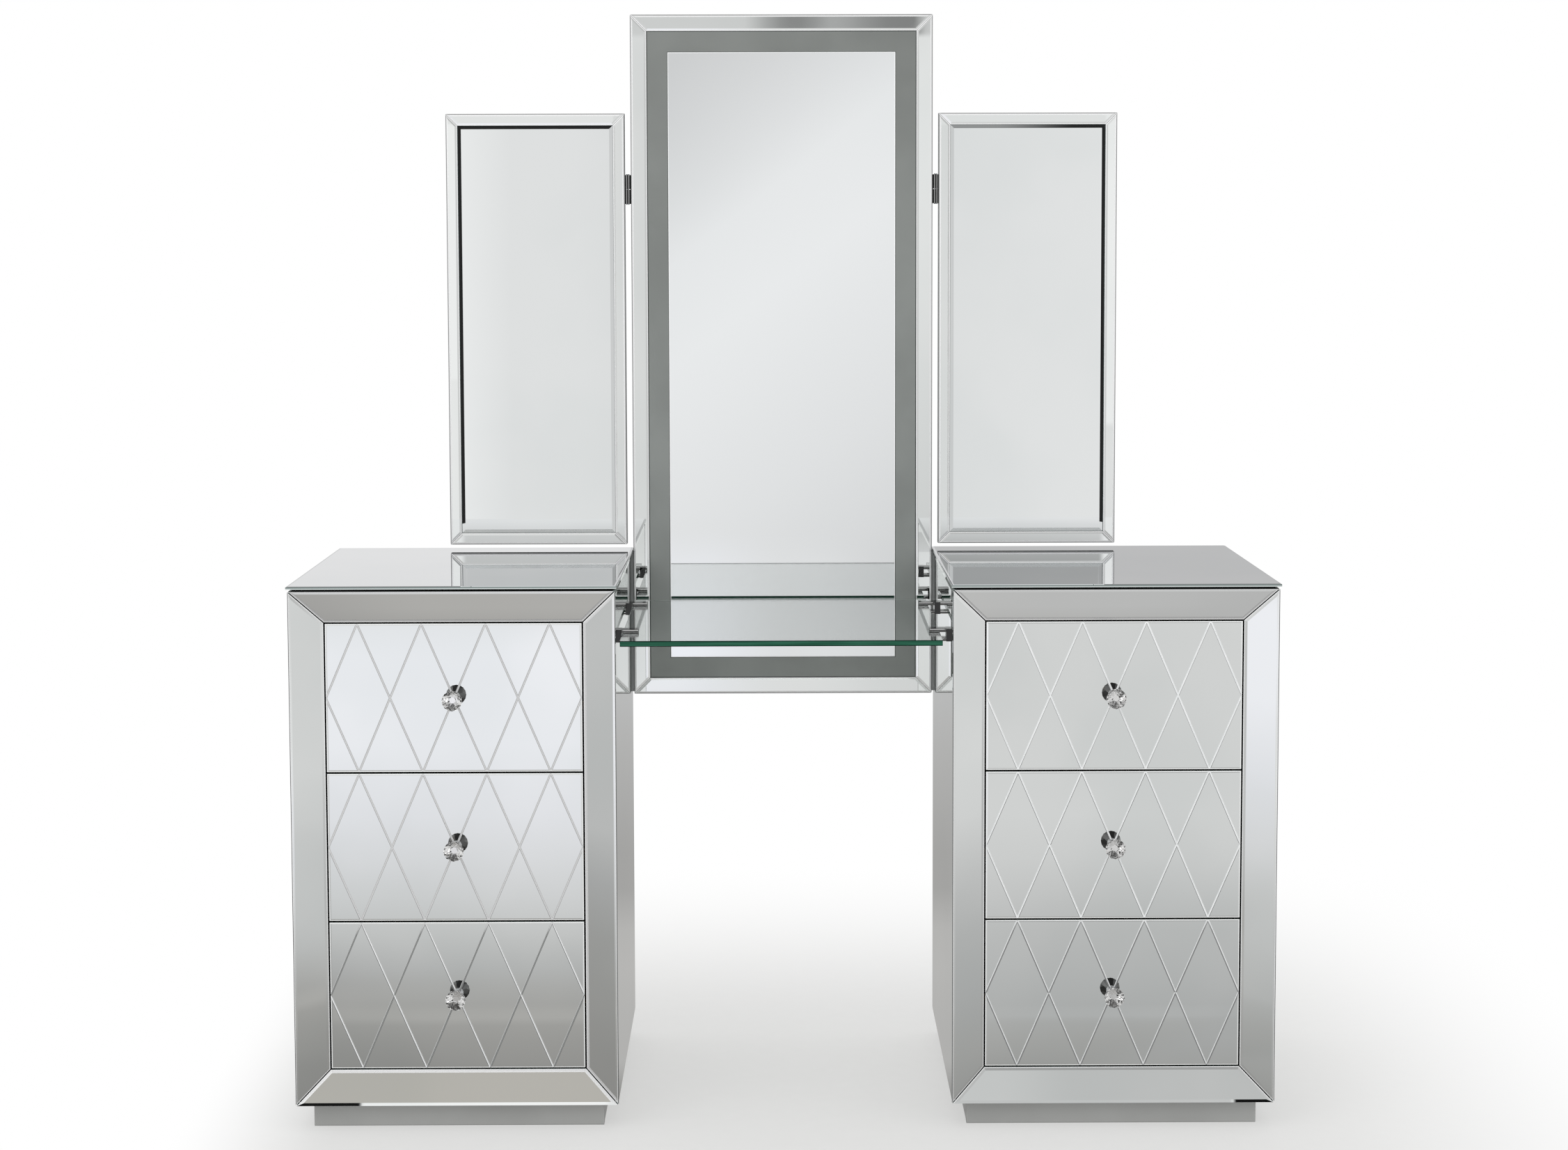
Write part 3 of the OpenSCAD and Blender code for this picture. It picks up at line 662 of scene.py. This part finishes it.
# nodes of one material each
PLAIN = {
    "centre_tray": TRAY, "centre_back_cover": TRAY, "centre_diffuser": OPAL, "light_bars": RESIN,
    "light_driver": CASE, "power_inlet": PLASTIC, "mounting_rails": RAIL, "pedestal_backs": PANEL,
    "shelf_clamps": CLAMP, "hinge_pins": STEEL, "fixed_hinge_leaves": HINGE}
for side in SIDES:
    PLAIN.update({
        f"{side}_carcass": BLACK, f"{side}_frame_core": BLACK, f"{side}_plinth": SILVER,
        f"{side}_runners": RUNNER, f"{side}_wing_tray": TRAY, f"{side}_hinge_leaf": HINGE})
for drawer in DRAWERS:
    PLAIN.update({f"{drawer}_box": DRAWER_WOOD, f"{drawer}_knob_base": CHROME})
for name, made in PLAIN.items():
    dress(name, (made, None))

for side in SIDES:
    dress(f"{side}_top_mirror",
          (TOP_MIRROR, lambda n: n.z > FACING), (BACK, lambda n: n.z < -FACING), (TOP_EDGE, None))
    dress(f"{side}_side_mirrors", (MIRROR, lambda n: abs(n.x) > FACING), (EDGE, None))
    dress(f"{side}_wing_glass",
          (SOFT_BEVEL, lambda n: bevelled(n) and n.z < -LEAN),
          (WING, to_front), (BACK, to_back), (EDGE, None))
    dress_ring(f"{side}_frame_strips", math.sin(math.atan2(FRAME_RECESS, FRAME_BORDER)))
    dress_ring(f"{side}_wing_strips")
for drawer in DRAWERS:
    dress(f"{drawer}_front",
          (GROOVE, groove_wall), (DRAWER_RIM, bevelled), (DRAWER, to_front), (BACK, to_back),
          (EDGE, None))
    dress(f"{drawer}_crystal", (FOIL, lambda n: n.y > 0.1), (CRYSTAL, None))
dress("centre_glass", (CENTRE, to_front), (BACK, to_back), (EDGE, None))
dress_ring(CENTRE_RING)
dress("glass_shelf",
      (SHELF, lambda n: abs(n.z) > 0.9), (SHELF_BACK, lambda n: n.y > 0.5), (SHELF_EDGE, None))


# ---------- floor ----------

# levels of painted light and shade on the floor as mirrors see it: (metres in front of the middle,
# level, warmth)
FLOOR_LEFT = [
    (0.2, 148, 1), (0.43, 150, 1), (0.5, 156, 1), (0.61, 162, 1), (0.68, 167, 1), (0.715, 177, 1),
    (0.745, 177, 1), (0.79, 173, 0.8), (0.9, 181, 0.5), (1.0, 190), (1.12, 199), (1.23, 207),
    (1.5, 220, -0.5), (1.8, 229, -1), (2.2, 238, -1.5), (3.0, 249, -1.5), (4.4, 251, -1.5),
    (5.5, 245, -1)]
FLOOR_MIDDLE = [
    (0.2, 150, 1), (0.45, 168, 0.6), (0.6, 182, 0.5), (0.75, 195, 0.3), (1.03, 203), (1.4, 212),
    (1.86, 223), (2.4, 231), (5.5, 234)]
FLOOR_RIGHT = [
    (0.2, 152, 0.6), (0.42, 163, 0.6), (0.51, 170, 0.6), (0.6, 175, 0.6), (0.69, 181, 0.3),
    (0.715, 188), (0.75, 188), (0.78, 186), (0.9, 190), (1.01, 193), (1.24, 197), (1.5, 206),
    (1.8, 215), (2.2, 221), (5.5, 220)]
FLOOR_FAR_LEFT = [
    (0.2, 142, 1), (0.43, 150, 1), (0.62, 158, 0.8), (0.84, 164, 0.6), (1.09, 175), (1.39, 194),
    (1.8, 197), (3.0, 202), (5.5, 202)]
FLOOR_FAR_RIGHT = [
    (0.2, 150, 0.6), (0.42, 170, 0.6), (0.62, 180), (0.85, 187), (1.12, 201), (1.45, 219),
    (1.85, 224), (5.5, 224)]
# and behind it: (metres behind the middle, level, warmth)
FLOOR_BEHIND = [
    (0.2, 179, 0.6), (0.6, 184, 0.6), (0.85, 182, 0.6), (1.15, 166, 0.6), (1.45, 166, 0.6),
    (2.0, 174, 0.4), (2.6, 181, 0.3), (3.2, 188)]


def floor_for_the_eye(t, x, y):
    """Pale paper that turns white further off, soonest on the left."""
    paper = t.noise(t.coords(), 40, 3)
    colour = t.mix(t.range(paper, 0.3, 0.7), rgb(222, 221, 219), rgb(220, 219, 217))
    pale = t.add("ShaderNodeBsdfDiffuse", {"Color": colour}).outputs[0]
    glow = t.add("ShaderNodeEmission", {"Color": rgb(237, 237, 236)}).outputs[0]
    near = t.add("ShaderNodeMixShader", {0: 0.6, 1: pale, 2: glow}).outputs[0]
    white = t.add("ShaderNodeEmission", {"Color": WHITE}).outputs[0]
    sideways = t.math("MULTIPLY", t.range(x, 0.66, 1.3, 1, 0), t.range(x, -0.62, -0.86, 1, 0))
    kept = t.math("MULTIPLY", t.range(y, 0.05, 1.35, 1, 0), sideways)
    return t.add("ShaderNodeMixShader", {0: kept, 1: white, 2: near}).outputs[0]


def floor_for_mirrors(t, x, y):
    """Floor as mirrors see it, with painted shade and light: darker next to the table as a painted
    shadow, bright in front on the left, greyer on the right, clear far off.
    """
    front = t.math("MULTIPLY", y, -1.0)
    left, middle, right, far_left, far_right = [t.greys(front, stops) for stops in (
        FLOOR_LEFT, FLOOR_MIDDLE, FLOOR_RIGHT, FLOOR_FAR_LEFT, FLOOR_FAR_RIGHT)]
    lit = t.mix(t.range(x, -0.3, 0.05), left, middle)
    lit = t.mix(t.range(x, 0.1, 0.5), lit, right)
    # towards the sides, by how slanting the way from the table is
    slant = t.math("DIVIDE", x, t.math("MAXIMUM", front, 0.1))
    wider = t.range(front, 0.95, 0.75, 0, 0.25)
    lit = t.mix(t.range(t.math("ADD", slant, wider), -0.56, -1.05), lit, far_left)
    lit = t.mix(t.range(slant, 0.85, 1.15), lit, far_right)
    lit = t.mix(t.range(front, 0.1, -0.1), lit, t.greys(y, FLOOR_BEHIND))
    # even beside the table, where the outer side mirrors look
    outwards = t.range(t.math("ABSOLUTE", x), 0.95, 1.7)
    lit = t.mix(t.math("MULTIPLY", outwards, t.range(front, 0.75, 0.4)), lit, tone(188))
    mirrored = t.add("ShaderNodeEmission", {"Color": lit}).outputs[0]
    clear = t.add("ShaderNodeBsdfTransparent").outputs[0]
    distance = t.math("SQRT", t.math("ADD", t.math("POWER", x, 2.0), t.math("POWER", y, 2.0)))
    fade = t.range(distance, 4.8, 7.2)
    return t.add("ShaderNodeMixShader", {0: fade, 1: mirrored, 2: clear}).outputs[0]


def studio_floor():
    """Pale floor that fades into the white backdrop; mirrors see painted lighter and darker zones of
    light and shade on it.
    """
    size = 8.0
    corners = [(-size, -size, 0), (size, -size, 0), (size, size, 0), (-size, size, 0)]
    mesh = bpy.data.meshes.new("studio_floor")
    mesh.from_pydata(corners, [], [(0, 1, 2, 3)])
    floor = bpy.data.objects.new("studio_floor", mesh)
    scene.collection.objects.link(floor)
    made, t = material("studio_floor")
    x, y, _ = t.split(t.coords())
    seen, mirrored = floor_for_the_eye(t, x, y), floor_for_mirrors(t, x, y)
    glossy = t.add("ShaderNodeLightPath").outputs["Is Glossy Ray"]
    t.surface(t.add("ShaderNodeMixShader", {0: glossy, 1: seen, 2: mirrored}).outputs[0])
    mesh.materials.append(made)


# ---------- surroundings ----------

# levels round the horizon: (degrees from the front, the right being positive; level)
WALLS = [
    (-180, 215), (-100, 190), (-60, 198), (-50, 202), (-43, 225), (-37, 230), (-27, 231),
    (-25.3, 206), (-19, 214), (-12, 226), (-7, 245), (-6.6, 236), (-6.2, 232), (-3.6, 232),
    (-3.2, 227), (-2.6, 229), (2.6, 231), (3.3, 232), (3.7, 227), (4.1, 232), (7.1, 234),
    (7.3, 245), (7.6, 245), (12, 226), (19, 214), (25.8, 204), (27, 235), (37, 244), (45, 228),
    (60, 212), (100, 190), (180, 215)]
# levels above them, left and right of the middle: (degrees of rise, level, warmth)
ABOVE_LEFT = [
    (3, 232), (5.6, 241), (6.1, 241), (6.45, 219), (6.9, 208), (11.5, 206), (13.5, 228),
    (21, 232), (23.3, 203), (27, 188, 2.3), (29.5, 187, 2.3), (32.4, 212), (34.7, 201),
    (36.2, 240), (40, 200), (48, 181), (90, 165)]
ABOVE_RIGHT = [
    (3, 232), (5.6, 241), (6.1, 241), (6.45, 217), (6.9, 172), (11.5, 172), (15, 188),
    (23.3, 203), (27, 200), (29.5, 201), (32.4, 212), (34.7, 201), (36.2, 240), (40, 190),
    (48, 166), (90, 160)]
# levels across a broad beam, by the degrees from its middle line, which rises by this slope
BEAM = [(-9, 221), (-5.5, 233), (-1.1, 243), (1.1, 241), (2.5, 231), (3.9, 222), (5.4, 214)]
BEAM_SLOPE = 0.78
# levels across a soft dark shape, by degrees from the front
SHAPE = [
    (-3.6, 224), (-3.2, 218), (-0.56, 216), (-0.4, 206), (-0.1, 180), (0.2, 157), (0.42, 147),
    (0.66, 147), (0.96, 160), (1.3, 178), (1.45, 177), (1.72, 170), (2.02, 158), (2.5, 142),
    (2.8, 140), (3.1, 139), (3.35, 205), (3.6, 220)]
# level of a card, then in degrees its place, half width, lowest and highest rise, and softness
CARDS = [
    # dark stands, and the dark rim of a soft box overhead
    (40, -31.5, 1.6, -12, 4, 0.3), (40, 31.5, 1.6, -12, 4, 0.3), (40, 0, 9, 26.1, 27.9, 0.3),
    # small light and dark cards that the narrow strips and bevels pick up
    (250, -6.9, 0.16, -3, 9, 0.08), (250, 7.36, 0.16, -4, 9, 0.08),
    (239, -5.2, 1.8, 2.46, 2.9, 0.02), (239, 5.4, 1.8, 2.46, 2.9, 0.02),
    (201, -5.0, 1.9, -6.8, -6.37, 0.01), (201, 5.2, 1.9, -6.8, -6.37, 0.01),
    (25, -9.9, 1.2, 5.3, 5.95, 0.05), (255, -6.1, 2.55, 5.3, 5.95, 0.05),
    (206, 6.6, 3.05, 5.3, 5.95, 0.05), (25, 10.3, 0.6, 5.3, 5.95, 0.05),
    (211, 4.2, 2.2, 27.0, 31.0, 1.0)]
# the light that dull surfaces get from all around
AMBIENT = (0.84, 0.85, 0.86, 1)


def by_degrees(t, value, stops):
    """Ramp of greys over an angle, with the stops in degrees."""
    return t.greys(value, [(math.radians(at), *level) for at, *level in stops])


def step(t, value, low, high, start=0.0, end=1.0):
    """Soft step of an angle between two bounds in degrees."""
    return t.range(value, math.radians(low), math.radians(high), start, end)


def card(t, colour, angle, rise, level, at, width, low, high, soft):
    """Lays a soft-edged bright or dark area over the surroundings."""
    off = t.math("ABSOLUTE", t.math("SUBTRACT", angle, math.radians(at)))
    a = step(t, off, width - soft, width + soft, 1, 0)
    b = step(t, rise, low - soft, low + soft)
    c = step(t, rise, high - soft, high + soft, 1, 0)
    return t.mix(t.math("MULTIPLY", a, t.math("MULTIPLY", b, c)), colour, tone(level))


def surroundings():
    """White backdrop for the eye, plain light for dull surfaces, a studio for mirrors and metal."""
    world = bpy.data.worlds.new("studio")
    scene.world = world
    t = Tree(world)
    x, y, z = t.split(t.coords("Generated"))
    angle = t.math("ARCTAN2", x, t.math("MULTIPLY", y, -1.0))
    rise = t.math("ARCSINE", z)
    low = by_degrees(t, angle, WALLS)
    left, right = by_degrees(t, rise, ABOVE_LEFT), by_degrees(t, rise, ABOVE_RIGHT)
    high = t.mix(t.range(x, -0.05, 0.05), left, right)
    colour = t.mix(step(t, rise, 3.5, 5.5), low, high)
    # the broad bright beam runs up to the right across the middle
    slant = t.math("SUBTRACT", rise, t.math("MULTIPLY", angle, BEAM_SLOPE))
    inside = t.math("MULTIPLY", step(t, angle, -2.6, -2.3), step(t, angle, 3.45, 3.65, 1, 0))
    inside = t.math("MULTIPLY", inside, step(t, rise, 4.3, 4.5, 1, 0))
    colour = t.mix(inside, colour, by_degrees(t, slant, BEAM))
    # behind the table: bright on the left, grey on the right, darker higher up and lower down
    wall = t.mix(t.range(x, -0.08, 0.08), tone(232), tone(194))
    back = t.mix(step(t, rise, 10, 28), wall, tone(148))
    back = t.mix(step(t, rise, 4, -2), back, tone(182))
    colour = t.mix(t.range(y, 0.1, 0.5), colour, back)
    for values in CARDS:
        colour = card(t, colour, angle, rise, *values)
    # the soft dark shape lies over the middle and is mirrored by the uppermost strip
    sideways = step(t, t.math("ABSOLUTE", angle), 3.9, 4.1, 1, 0)
    upwards = t.math("MULTIPLY", step(t, rise, 4.3, 4.45), step(t, rise, 5.1, 5.3, 1, 0))
    colour = t.mix(t.math("MULTIPLY", sideways, upwards), colour, by_degrees(t, angle, SHAPE))
    path = t.add("ShaderNodeLightPath").outputs
    seen = t.math("MAXIMUM", path["Is Camera Ray"], path["Is Transmission Ray"])
    plain = t.mix(path["Is Glossy Ray"], AMBIENT, colour)
    both = t.mix(seen, plain, WHITE)
    background = t.add("ShaderNodeBackground", {"Color": both, "Strength": 1.0}).outputs[0]
    t.surface(background, "ShaderNodeOutputWorld")


# ---------- lamps and camera ----------

def soft_light(name, place, size, power):
    """Square lamp that points at the middle of the table and isn't mirrored."""
    lamp = bpy.data.lights.new(name, "AREA")
    lamp.shape = "SQUARE"
    lamp.size = size
    lamp.energy = power
    holder = bpy.data.objects.new(name, lamp)
    holder.location = place
    to_middle = Vector((0, 0, 0.7)) - Vector(place)
    holder.rotation_euler = to_middle.to_track_quat("-Z", "Y").to_euler()
    holder.visible_glossy = False
    scene.collection.objects.link(holder)


def make_camera():
    """Eye a little to the left of the middle, at chest height, looking down by a few degrees."""
    place = (-0.01633, -3.81673, 1.24169)
    turn, down, roll = 0.0046544, 0.0773955, -0.0025930
    ahead = Vector((math.sin(turn) * math.cos(down), math.cos(turn) * math.cos(down),
                    -math.sin(down)))
    right = Vector((math.cos(turn), -math.sin(turn), 0))
    up = right.cross(ahead)
    right, up = (right * math.cos(roll) + up * math.sin(roll),
                 up * math.cos(roll) - right * math.sin(roll))
    data = bpy.data.cameras.new("camera")
    data.sensor_width = 36
    data.lens = 60.378695
    data.shift_y = -0.084
    data.clip_end = 60
    holder = bpy.data.objects.new("camera", data)
    turned = Matrix((right, up, -ahead)).transposed().to_4x4()
    holder.matrix_world = Matrix.Translation(place) @ turned
    scene.collection.objects.link(holder)
    scene.camera = holder


studio_floor()
surroundings()
soft_light("key", (-2.2, -2.6, 2.9), 2.2, 26)
soft_light("fill", (2.6, -2.2, 2.4), 2.2, 14)
soft_light("top", (0, 0.4, 3.6), 2.4, 14)
make_camera()
